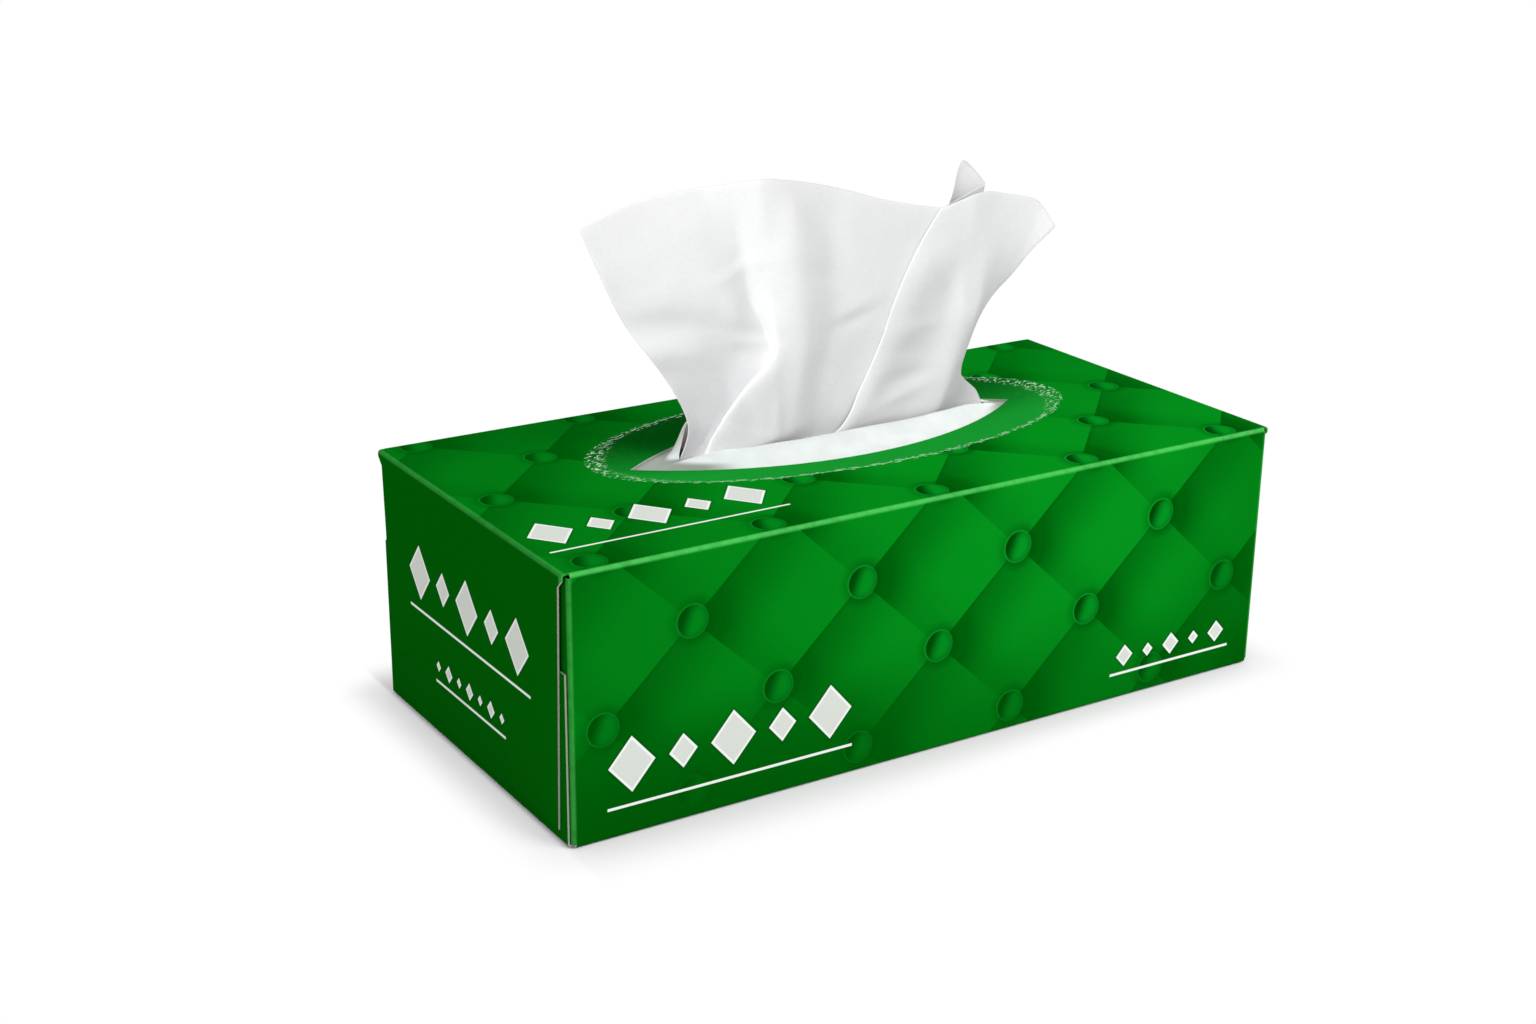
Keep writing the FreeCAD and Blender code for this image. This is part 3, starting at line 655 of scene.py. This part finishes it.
class TISSUEBOX_OT_film(bpy.types.Operator):
    """Stretch the film under the opening, with soft rolled lips along the slit"""
    bl_idname = "tissuebox.film"
    bl_label = "Window film"

    def execute(self, context):
        settings = context.scene.tissuebox_film
        made, graph, shader = new_material("film")
        m = graph.math
        position = graph.millimetres()
        fibre = graph.group(fibre_group(), Position=position, Coarse=0.12, Fine=0.9)
        colour = graph.mix(graph.ramp(fibre["Cloud"], 0.3, 0.7), settings.white,
                           srgb(230, 233, 230))
        # Beyond the foot of the tissue the film is flat over the dark inside, and is painted grey
        # as shade, more so at its left end.
        x, y, z = graph.split(position)
        low = graph.ramp(z, MOUTH_LEVEL + 0.7, MOUTH_LEVEL + 1.6, 1.0, 0.0)
        off = m("SUBTRACT", x, SLIT[0])
        off = m("MAXIMUM", m("MULTIPLY", off, 0.88), m("MULTIPLY", off, -1.0))
        colour = graph.mix(m("MULTIPLY", graph.ramp(off, 39.0, 50.0), low), colour,
                           srgb(146, 156, 146))
        graph.feed(shader, Base_Color=colour,
                   Roughness=graph.ramp(fibre["Cloud"], 0.3, 0.7, 0.30, 0.42),
                   Specular_IOR_Level=0.4, Subsurface_Weight=0.15, Subsurface_Scale=0.001)
        graph.bump(shader, fibre["Height"], 0.25, 0.0004)

        # Rings from the glued border in to the rolled lip: share of the way from one
        # outline to the next, and the level above the base.
        turns = [2 * math.pi * k / FILM_STEPS for k in range(FILM_STEPS)]
        border = [oval(BORDER, turn) for turn in turns]
        rim = [oval(RIM, turn) for turn in turns]
        mouth = [pointed(MOUTH, turn) for turn in turns]
        slit = [oval(SLIT, turn) for turn in turns]
        rings = [(border, rim, 0.0, 71.25), (border, rim, 0.9, 71.2), (rim, mouth, 0.5, 70.2),
                 (rim, mouth, 1.0, MOUTH_LEVEL)]
        rings += [(mouth, slit, share, level) for share, level in LIP]
        corner_x, corner_reach, corner_rise = LIP_CORNER
        points = []
        for number, (start, stop, share, level) in enumerate(rings):
            soft = max(0.0, min(1.0, (number - 3) / 4.0))
            upper = min(1.0, max(0.0, number - 5) / 2.0)
            for turn, first, second in zip(turns, start, stop):
                x, y = first.lerp(second, share)
                wave = noise.noise(Vector((x * 0.05, y * 0.05, 3.0))) * 0.5
                wave += noise.noise(Vector((x * 0.16, y * 0.12, 8.0))) * 0.22
                # The lip runs down to nothing at its two points, sooner at the left one.
                whole = min(1.0, 1.6 * abs(math.sin(turn)), max(0.0, (x - LIP_START) / LIP_RUN))
                rise = (level - MOUTH_LEVEL) * (whole if number > 3 else 1.0)
                if math.sin(turn) > 0.0:
                    away = (x - corner_x) / corner_reach
                    rise += corner_rise * upper * math.exp(-away ** 2)
                points.append((x * MM, y * MM, (MOUTH_LEVEL + rise + wave * soft * whole) * MM))
        faces = []
        for ring in range(0, (len(rings) - 1) * FILM_STEPS, FILM_STEPS):
            for k in range(FILM_STEPS):
                after = (k + 1) % FILM_STEPS
                faces.append((ring + k, ring + after,
                              ring + FILM_STEPS + after, ring + FILM_STEPS + k))
        film = new_piece("window_film_sheet", points, faces, made)
        outward(film)
        thicken(film, settings.thickness)
        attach(film, "root")
        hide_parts("window_film")
        return {"FINISHED"}


# Raised tissue

# Ribs of the standing half in millimetres, left hem first, each from the slit up to the
# hem. Between them the sheet folds back twice: at the pinch and behind the front pleat.
RIBS = (
    ((-43.8, 10.0, 68.7), (-40.7, 10.0, 78.2), (-46.2, 9.0, 90.6), (-55.5, 8.5, 103.1),
     (-63.1, 8.0, 114.5), (-70.1, 7.0, 128.1), (-75.3, 6.0, 138.7)),
    ((-41.9, 11.3, 68.7), (-35.6, 12.2, 76.7), (-36.3, 11.0, 89.1), (-41.0, 9.4, 101.6),
     (-48.2, 7.4, 113.8), (-53.2, 6.8, 126.9), (-56.8, 6.4, 143.6)),
    ((-38.0, 12.5, 68.7), (-30.8, 13.8, 75.5), (-25.8, 12.6, 86.5), (-24.9, 10.0, 98.4),
     (-30.9, 6.4, 112.6), (-36.9, 6.8, 126.8), (-39.2, 6.0, 145.3)),
    ((-30.8, 13.6, 68.7), (-23.3, 13.4, 74.4), (-17.8, 12.0, 85.5), (-15.0, 9.4, 96.6),
     (-21.5, 9.0, 111.3), (-26.9, 7.0, 124.8), (-33.4, 4.6, 145.7)),
    ((-38.9, 6.7, 68.7), (-34.4, 5.7, 78.9), (-25.7, 5.0, 89.0), (-16.1, 4.6, 99.6),
     (-18.8, 5.6, 112.6), (-22.7, 4.6, 125.3), (-28.2, 3.0, 146.3)),
    ((-24.5, 5.0, 68.7), (-19.7, 3.6, 77.1), (-18.8, 3.2, 88.5), (-13.5, 3.6, 99.8),
     (-16.0, 4.0, 112.6), (-19.4, 3.0, 126.3), (-22.3, 1.6, 146.5)),
    ((-14.8, 6.5, 68.7), (-10.6, 4.6, 75.3), (-10.3, 3.2, 87.2), (-7.6, 3.2, 99.0),
     (-9.7, 2.4, 112.1), (-12.0, 1.6, 126.3), (-14.3, 2.4, 145.3)),
    ((-5.5, 8.0, 68.7), (-1.5, 6.8, 74.1), (0.3, 6.2, 84.8), (3.2, 6.0, 97.4),
     (4.7, 5.8, 109.5), (4.4, 5.8, 123.6), (3.2, 5.6, 141.1)),
    ((0.7, 8.2, 68.7), (4.8, 7.6, 73.2), (9.7, 7.2, 83.1), (14.9, 7.4, 95.4),
     (19.5, 7.6, 107.2), (22.7, 8.0, 121.0), (22.6, 6.6, 135.1)),
    ((3.7, 8.6, 68.7), (8.7, 8.3, 73.0), (15.5, 7.7, 83.0), (22.2, 7.9, 94.6),
     (28.2, 8.2, 105.9), (35.6, 8.6, 119.4), (41.4, 6.8, 131.4)),
    ((6.6, 9.8, 68.7), (13.0, 9.6, 72.5), (20.7, 9.2, 82.7), (28.6, 9.2, 94.0),
     (35.7, 9.0, 105.4), (43.7, 9.2, 119.8), (47.7, 8.6, 144.0)),
    ((13.1, 12.3, 68.7), (21.6, 12.0, 71.7), (30.1, 11.7, 81.9), (39.0, 11.4, 92.6),
     (47.2, 11.0, 104.1), (53.3, 10.6, 118.4), (57.5, 9.8, 136.0)),
    ((12.8, 11.9, 68.7), (21.3, 11.6, 71.9), (29.8, 11.3, 82.0), (38.8, 11.0, 92.7),
     (46.8, 10.6, 104.2), (53.0, 10.2, 118.5), (57.2, 9.4, 136.1)),
    ((0.6, 7.0, 68.7), (7.3, 7.2, 71.7), (13.7, 7.0, 82.6), (20.0, 7.2, 94.2),
     (25.2, 7.4, 106.5), (32.9, 7.8, 119.8), (39.5, 6.2, 131.4)),
    ((0.3, 6.6, 68.7), (7.0, 6.8, 71.9), (13.4, 6.6, 82.7), (19.7, 6.8, 94.3),
     (24.9, 7.0, 106.6), (32.6, 7.4, 120.0), (39.2, 5.8, 131.5)),
    ((5.5, 7.2, 68.7), (10.9, 6.0, 72.1), (17.8, 5.6, 82.3), (25.5, 5.8, 93.7),
     (31.4, 6.0, 106.0), (38.0, 6.2, 119.6), (42.1, 5.0, 132.5)),
    ((21.2, 7.0, 68.7), (25.0, 6.0, 74.0), (31.1, 6.2, 82.5), (37.2, 6.4, 92.9),
     (42.0, 6.9, 104.4), (44.6, 5.6, 118.9), (46.5, 4.4, 133.8)),
    ((37.1, 6.5, 68.7), (39.3, 5.8, 73.6), (43.0, 5.6, 83.0), (46.6, 5.8, 93.5),
     (49.0, 5.8, 103.8), (49.6, 5.2, 118.4), (49.8, 4.2, 134.7)),
    ((43.3, 9.0, 68.7), (44.9, 8.0, 72.7), (48.2, 7.2, 82.1), (51.4, 6.8, 92.9),
     (53.3, 5.8, 102.6), (53.9, 5.2, 117.9), (53.9, 4.6, 135.0)),
    ((49.1, 11.0, 68.7), (50.6, 9.8, 72.0), (50.6, 9.4, 81.2), (53.3, 8.8, 91.5),
     (58.1, 7.4, 104.3), (63.2, 6.6, 118.0), (63.4, 5.6, 133.0)),
    ((55.0, 11.0, 68.7), (54.6, 10.2, 72.5), (51.5, 10.6, 81.4), (55.5, 10.0, 94.2),
     (62.6, 8.6, 105.6), (70.3, 7.2, 117.4), (72.8, 5.8, 130.6)),
    ((60.4, 10.2, 68.7), (58.1, 10.6, 74.0), (51.3, 11.4, 82.4), (57.3, 10.8, 99.2),
     (65.6, 9.2, 106.6), (73.9, 7.0, 115.8), (80.1, 5.0, 122.0)),
)


# Creases and dents of the sheet: x, z, reach along, reach across, degrees, push forwards.
DENTS = (
    (-29, 121, 8, 1.5, 22, 0.5),
    (-29, 123, 6, 1.5, 25, -0.4),
    (-21, 103, 8, 1.5, -15, -0.7),
    (-21, 100, 5, 1.8, -12, 0.6),
    (-25, 98, 3, 1.5, 26, -0.4),
    (-29, 76, 7, 1.8, -33, 0.8),
    (-22, 77, 6, 1.5, -24, -0.5),
    (-20, 75, 6, 1.2, -30, 0.6),
    (-16, 79, 6, 1.5, -86, 0.5),
    (1, 117, 11, 2.7, -21, -0.5),
    (11, 103, 7, 1.8, 12, -0.5),
    (10, 106, 7, 2.1, 14, 0.5),
    (4, 124, 10, 3.6, -32, -0.5),
    (-4, 135, 10, 3.6, -41, -0.7),
    (10, 77, 5, 2.4, -61, 0.4),
    (28, 79, 9, 1.8, 13, 0.6),
    (28, 84, 8, 2.1, 8, -0.5),
    (32, 91, 9, 2.4, -13, -0.5),
    (33, 98, 8, 2.1, -0, 0.5),
    (45, 106, 6, 1.8, -50, -0.5),
    (-50, 101, 13, 4.0, -9, 1.3),
    (-48, 109, 14, 4.0, -6, -1.1),
    (-26, 85, 7, 1.8, -70, -0.4),
)


def through(values, count):
    """A curve through evenly spaced values that swings no wider than they do."""
    values = np.asarray(values, float)
    step = np.diff(values, axis=0)
    product = step[:-1] * step[1:]
    total = step[:-1] + step[1:]
    total[product <= 0] = 1.0
    slope = np.concatenate((step[:1], np.where(product > 0, 2.0 * product / total, 0.0), step[-1:]))
    result = []
    for k in range(len(step)):
        for part in range(count + (k == len(step) - 1)):
            t = part / count
            result.append((1 + 2 * t) * (1 - t) ** 2 * values[k] + t * (1 - t) ** 2 * slope[k]
                          + t * t * (3 - 2 * t) * values[k + 1] + t * t * (t - 1) * slope[k + 1])
    return np.array(result)


class TISSUEBOX_OT_tissue(bpy.types.Operator):
    """Fold the tissue that stands in the slit, with its lower half inside"""
    bl_idname = "tissuebox.tissue"
    bl_label = "Raised tissue"

    def execute(self, context):
        settings = context.scene.tissuebox_tissue
        made, graph, shader = new_material("tissue")
        fibre = graph.group(fibre_group(), Position=graph.millimetres(), Coarse=0.9, Fine=4.0)
        colour = graph.mix(graph.ramp(fibre["Cloud"], 0.3, 0.7), settings.white,
                           srgb(237, 237, 238))
        graph.feed(shader, Base_Color=colour, Roughness=0.9, Specular_IOR_Level=0.15,
                   Subsurface_Weight=0.3, Subsurface_Radius=(1.0, 1.0, 1.0),
                   Subsurface_Scale=0.002)
        graph.bump(shader, fibre["Height"], 0.06, 0.0002)

        finer = settings.finer
        standing = through(np.array([through(rib, finer + 2) for rib in RIBS]), finer)
        standing = standing.transpose(1, 0, 2)
        rows, columns = standing.shape[:2]
        for row in range(rows):
            # The foot of the sheet stays where the ribs put it.
            free = min(1.0, row / (finer * 1.2))
            for column in range(columns):
                x, y, z = standing[row, column]
                push = 0.0
                for dent_x, dent_z, long, wide, degrees, deep in DENTS:
                    turn = math.radians(degrees)
                    along = (x - dent_x) * math.cos(turn) + (z - dent_z) * math.sin(turn)
                    across = (z - dent_z) * math.cos(turn) - (x - dent_x) * math.sin(turn)
                    push += deep * math.exp(-(along / long) ** 2 - (across / wide) ** 2)
                push += 0.7 * noise.noise(Vector((x * 0.045, z * 0.035, y * 0.02)))
                push += 0.25 * noise.noise(Vector((x * 0.14, z * 0.09, 5.0)))
                standing[row, column, 1] = y - push * free

        # Below the slit the sheet spreads forwards, turns and comes back under itself. Each row
        # has its share of the spread, its y and its drop.
        tail_rows = (
            (1.00, SLIT_FRONT + SLIT_WIDTH, TAIL_TURN), (1.00, SLIT_FRONT, TAIL_TURN),
            (1.00, TAIL_FRONT, TAIL_TURN), (1.00, TAIL_FRONT - TAIL_TURN / 2, TAIL_TURN / 2),
            (1.00, TAIL_FRONT, 0.0), (0.80, (TAIL_FRONT + SLIT_FRONT) / 2, 0.0),
            (0.35, SLIT_FRONT - 2 * TAIL_TURN, 0.0),
        )
        grid = []
        for spread, y, drop in tail_rows:
            line = []
            for column, x in enumerate(standing[0, :, 0]):
                wide = TAIL_HALF * (2.0 * column / (columns - 1) - 1.0)
                line.append((x + spread * (wide - x), y, SLIT_LEVEL - drop))
            grid.append(line)
        grid += [list(map(tuple, line)) for line in standing]
        points = [Vector(point) * MM for line in grid for point in line]
        faces = []
        for row in range(len(grid) - 1):
            for column in range(columns - 1):
                first = row * columns + column
                faces.append((first, first + 1, first + 1 + columns, first + columns))
        tissue = new_piece("raised_tissue_sheet", points, faces, made)
        thicken(tissue, settings.thickness)
        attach(tissue, "root")
        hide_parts("raised_tissue")
        return {"FINISHED"}


# Stack


def pile_tree():
    """Copies of a sheet in a pile, each a little out of line."""
    tree = bpy.data.node_groups.new("Sheet Pile", "GeometryNodeTree")
    tree.is_modifier = True
    ports = {}
    for name, kind in (("Geometry", "Geometry"), ("Sheet", "Object"), ("Layers", "Int"),
                       ("Layer Height", "Float"), ("Jitter", "Float"), ("Seed", "Int"),
                       ("Material", "Material")):
        ports[name] = tree.interface.new_socket(
            name=name, in_out="INPUT", socket_type="NodeSocket" + kind).identifier
    tree.interface.new_socket(name="Geometry", in_out="OUTPUT", socket_type="NodeSocketGeometry")
    graph = Graph(tree)
    given = graph.node("NodeGroupInput").outputs
    line = graph.feed(graph.node("GeometryNodeMeshLine"), Count=given["Layers"],
                      Offset=graph.combine(0.0, 0.0, given["Layer Height"]))
    reach = graph.combine(given["Jitter"], given["Jitter"])
    spread = graph.feed(graph.node("FunctionNodeRandomValue", data_type="FLOAT_VECTOR"),
                        Min=graph.scaled(reach, -1.0), Max=reach, Seed=given["Seed"])
    shift = graph.feed(graph.node("GeometryNodeSetPosition"), Geometry=line["Mesh"],
                       Offset=spread["Value"])
    info = graph.feed(graph.node("GeometryNodeObjectInfo"), Object=given["Sheet"])
    copies = graph.feed(graph.node("GeometryNodeInstanceOnPoints"), Points=shift["Geometry"],
                        Instance=info["Geometry"])
    real = graph.feed(graph.node("GeometryNodeRealizeInstances"), Geometry=copies["Instances"])
    finish = graph.feed(graph.node("GeometryNodeSetMaterial"), Geometry=real["Geometry"],
                        Material=given["Material"])
    graph.feed(graph.node("NodeGroupOutput"), Geometry=finish["Geometry"])
    return tree, ports


class TISSUEBOX_OT_stack(bpy.types.Operator):
    """Pile the folded tissues inside the carton"""
    bl_idname = "tissuebox.stack"
    bl_label = "Tissue stack"

    def execute(self, context):
        settings = context.scene.tissuebox_stack
        made, graph, shader = new_material("stacked_tissue")
        fibre = graph.group(fibre_group(), Position=graph.millimetres(), Coarse=0.7, Fine=4.0)
        colour = graph.mix(graph.ramp(fibre["Cloud"], 0.3, 0.7), srgb(240, 240, 241),
                           srgb(228, 228, 230))
        graph.feed(shader, Base_Color=colour, Roughness=0.92, Specular_IOR_Level=0.12)
        graph.bump(shader, fibre["Height"], 0.2, 0.0002)

        low, high = (Vector(corner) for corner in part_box("tissue_stack"))
        size = high - low
        layer = size.z / settings.layers
        spare = settings.jitter
        # One folded sheet: a flat slab with a soft fold along its long sides.
        work = bmesh.new()
        bmesh.ops.create_cube(work, size=1.0)
        slab_size = (size.x - 2 * spare, size.y - 2 * spare, layer * 0.96)
        bmesh.ops.scale(work, vec=slab_size, verts=work.verts)
        long_edges = [edge for edge in work.edges
                      if abs((edge.verts[0].co - edge.verts[1].co).x) > size.x / 2]
        bmesh.ops.bevel(work, geom=long_edges, offset=layer * 0.45, segments=2, affect="EDGES")
        mesh = bpy.data.meshes.new("folded_sheet")
        work.to_mesh(mesh)
        work.free()
        slab = bpy.data.objects.new("folded_sheet", mesh)
        context.scene.collection.objects.link(slab)

        stack = new_piece("tissue_stack_layers", [], [], made)
        modifier = stack.modifiers.new("Pile", "NODES")
        modifier.node_group, ports = pile_tree()
        for name, value in (("Sheet", slab), ("Layers", settings.layers), ("Layer Height", layer),
                            ("Jitter", spare), ("Seed", settings.seed), ("Material", made)):
            modifier[ports[name]] = value
        apply_modifiers(stack)
        centre = (low + high) / 2
        stack.data.transform(Matrix.Translation((centre.x, centre.y, low.z + layer / 2)))
        bpy.data.objects.remove(slab)
        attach(stack, "root")
        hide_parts("tissue_stack")
        return {"FINISHED"}


# Stage


class TISSUEBOX_OT_stage(bpy.types.Operator):
    """Set the white floor, the soft light and the camera"""
    bl_idname = "tissuebox.stage"
    bl_label = "Stage"

    def execute(self, context):
        settings = context.scene.tissuebox_stage
        scene = context.scene
        tissue = bpy.data.objects["raised_tissue_sheet"]
        others = [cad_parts["carton"], bpy.data.objects["window_film_sheet"],
                  bpy.data.objects["tissue_stack_layers"]]
        scene.view_settings.view_transform = "Standard"

        # The even light is white where it is seen, and dimmer where it lights.
        world = bpy.data.worlds.new("studio")
        scene.world = world
        world.use_nodes = True
        world.node_tree.nodes.clear()
        graph = Graph(world.node_tree)
        path = graph.node("ShaderNodeLightPath").outputs
        seen = graph.either(path["Is Camera Ray"], path["Is Glossy Ray"],
                            path["Is Transmission Ray"])
        sky = graph.feed(graph.node("ShaderNodeBackground"), Color=(1.0, 1.0, 1.0, 1.0),
                         Strength=graph.blend(seen, settings.world, 1.0))
        graph.feed(graph.node("ShaderNodeOutputWorld"), Surface=sky["Background"])

        # The camera sees the floor as white, but for the shadow round the carton.
        made, graph, shader = new_material("floor")
        graph.feed(shader, Base_Color=srgb(250, 250, 250), Roughness=0.9, Specular_IOR_Level=0.0)
        place = graph.split(graph.coordinate("Object"))
        beyond = []
        for side, half in zip(place, CARTON_HALF):
            reach = graph.math("SUBTRACT", graph.math("ABSOLUTE", side), half * MM)
            beyond.append(graph.math("MAXIMUM", reach, 0.0))
        distance = graph.length(*beyond)
        # The shadow is short, lighter at the left end and shorter towards the right.
        x = place[0]
        at_left = graph.ramp(x, -0.1135, -0.1115, 1.0, 0.0)
        shadow = graph.blend(at_left, graph.ramp(x, -0.05, 0.05, 0.022, 0.015), 0.016)
        away = graph.ramp(distance, 0.0, shadow, graph.math("MULTIPLY", at_left, 0.4))
        camera_ray = graph.node("ShaderNodeLightPath").outputs["Is Camera Ray"]
        glow = graph.feed(graph.node("ShaderNodeEmission"), Strength=1.0)
        join = graph.node("ShaderNodeMixShader")
        surface = shader.outputs["BSDF"].links[0].to_socket
        for socket, value in zip(join.inputs, (graph.math("MULTIPLY", away, camera_ray),
                                               shader.outputs["BSDF"], glow["Emission"])):
            graph.put(socket, value)
        graph.put(surface, join.outputs[0])
        corners = [(x * FLOOR_HALF, y * FLOOR_HALF, FLOOR_LEVEL)
                   for x, y in ((-1, -1), (1, -1), (1, 1), (-1, 1))]
        floor = new_piece("floor", corners, [(0, 1, 2, 3)], made, smooth=False)

        def lamp(name, place, power, size, lit):
            """A square lamp that lights only the pieces given."""
            data = bpy.data.lights.new(name, "AREA")
            data.energy = power
            data.size = size
            made_lamp = bpy.data.objects.new(name, data)
            made_lamp.location = place
            aim = LAMP_AIM - Vector(place)
            made_lamp.rotation_euler = aim.to_track_quat("-Z", "Y").to_euler()
            scene.collection.objects.link(made_lamp)
            group = bpy.data.collections.new("Lit by " + name)
            for piece in lit:
                group.objects.link(piece)
            made_lamp.light_linking.receiver_collection = group

        lamp("key", KEY_PLACE, settings.key, KEY_SIZE, others + [floor])
        lamp("side", SIDE_PLACE, settings.side, SIDE_SIZE, [tissue])

        data = bpy.data.cameras.new("camera")
        data.lens = settings.lens
        data.sensor_width = 36.0
        data.clip_start = 0.01
        camera = bpy.data.objects.new("camera", data)
        turn = Matrix((CAMERA_RIGHT, -CAMERA_DOWN, -CAMERA_FORWARD)).transposed()
        camera.matrix_world = Matrix.Translation(CAMERA_PLACE) @ turn.to_4x4()
        scene.collection.objects.link(camera)
        scene.camera = camera
        return {"FINISHED"}


# Panel


class TISSUEBOX_PT_panel(bpy.types.Panel):
    """Lists the pieces and the sizes that may be changed"""
    bl_idname = "TISSUEBOX_PT_panel"
    bl_label = "Tissue Box"
    bl_space_type = "VIEW_3D"
    bl_region_type = "UI"
    bl_category = "Tissue Box"

    def draw(self, context):
        layout = self.layout
        for operator, settings in PIECES:
            box = layout.box()
            box.operator(operator.bl_idname)
            group = getattr(context.scene, settings)
            for name in group.__annotations__:
                box.prop(group, name)


PIECES = (
    (TISSUEBOX_OT_carton, "tissuebox_carton"),
    (TISSUEBOX_OT_film, "tissuebox_film"),
    (TISSUEBOX_OT_stack, "tissuebox_stack"),
    (TISSUEBOX_OT_tissue, "tissuebox_tissue"),
    (TISSUEBOX_OT_stage, "tissuebox_stage"),
)
GROUPS = {
    "tissuebox_carton": CartonSettings,
    "tissuebox_film": FilmSettings,
    "tissuebox_stack": StackSettings,
    "tissuebox_tissue": TissueSettings,
    "tissuebox_stage": StageSettings,
}


def register():
    for name, group in GROUPS.items():
        bpy.utils.register_class(group)
        setattr(bpy.types.Scene, name, PointerProperty(type=group))
    for operator, settings in PIECES:
        bpy.utils.register_class(operator)
    bpy.utils.register_class(TISSUEBOX_PT_panel)


def unregister():
    bpy.utils.unregister_class(TISSUEBOX_PT_panel)
    for operator, settings in reversed(PIECES):
        bpy.utils.unregister_class(operator)
    for name, group in GROUPS.items():
        delattr(bpy.types.Scene, name)
        bpy.utils.unregister_class(group)


def main():
    register()
    bpy.ops.tissuebox.carton()
    bpy.ops.tissuebox.film()
    bpy.ops.tissuebox.stack()
    bpy.ops.tissuebox.tissue()
    bpy.ops.tissuebox.stage()


if __name__ == "__main__":
    main()
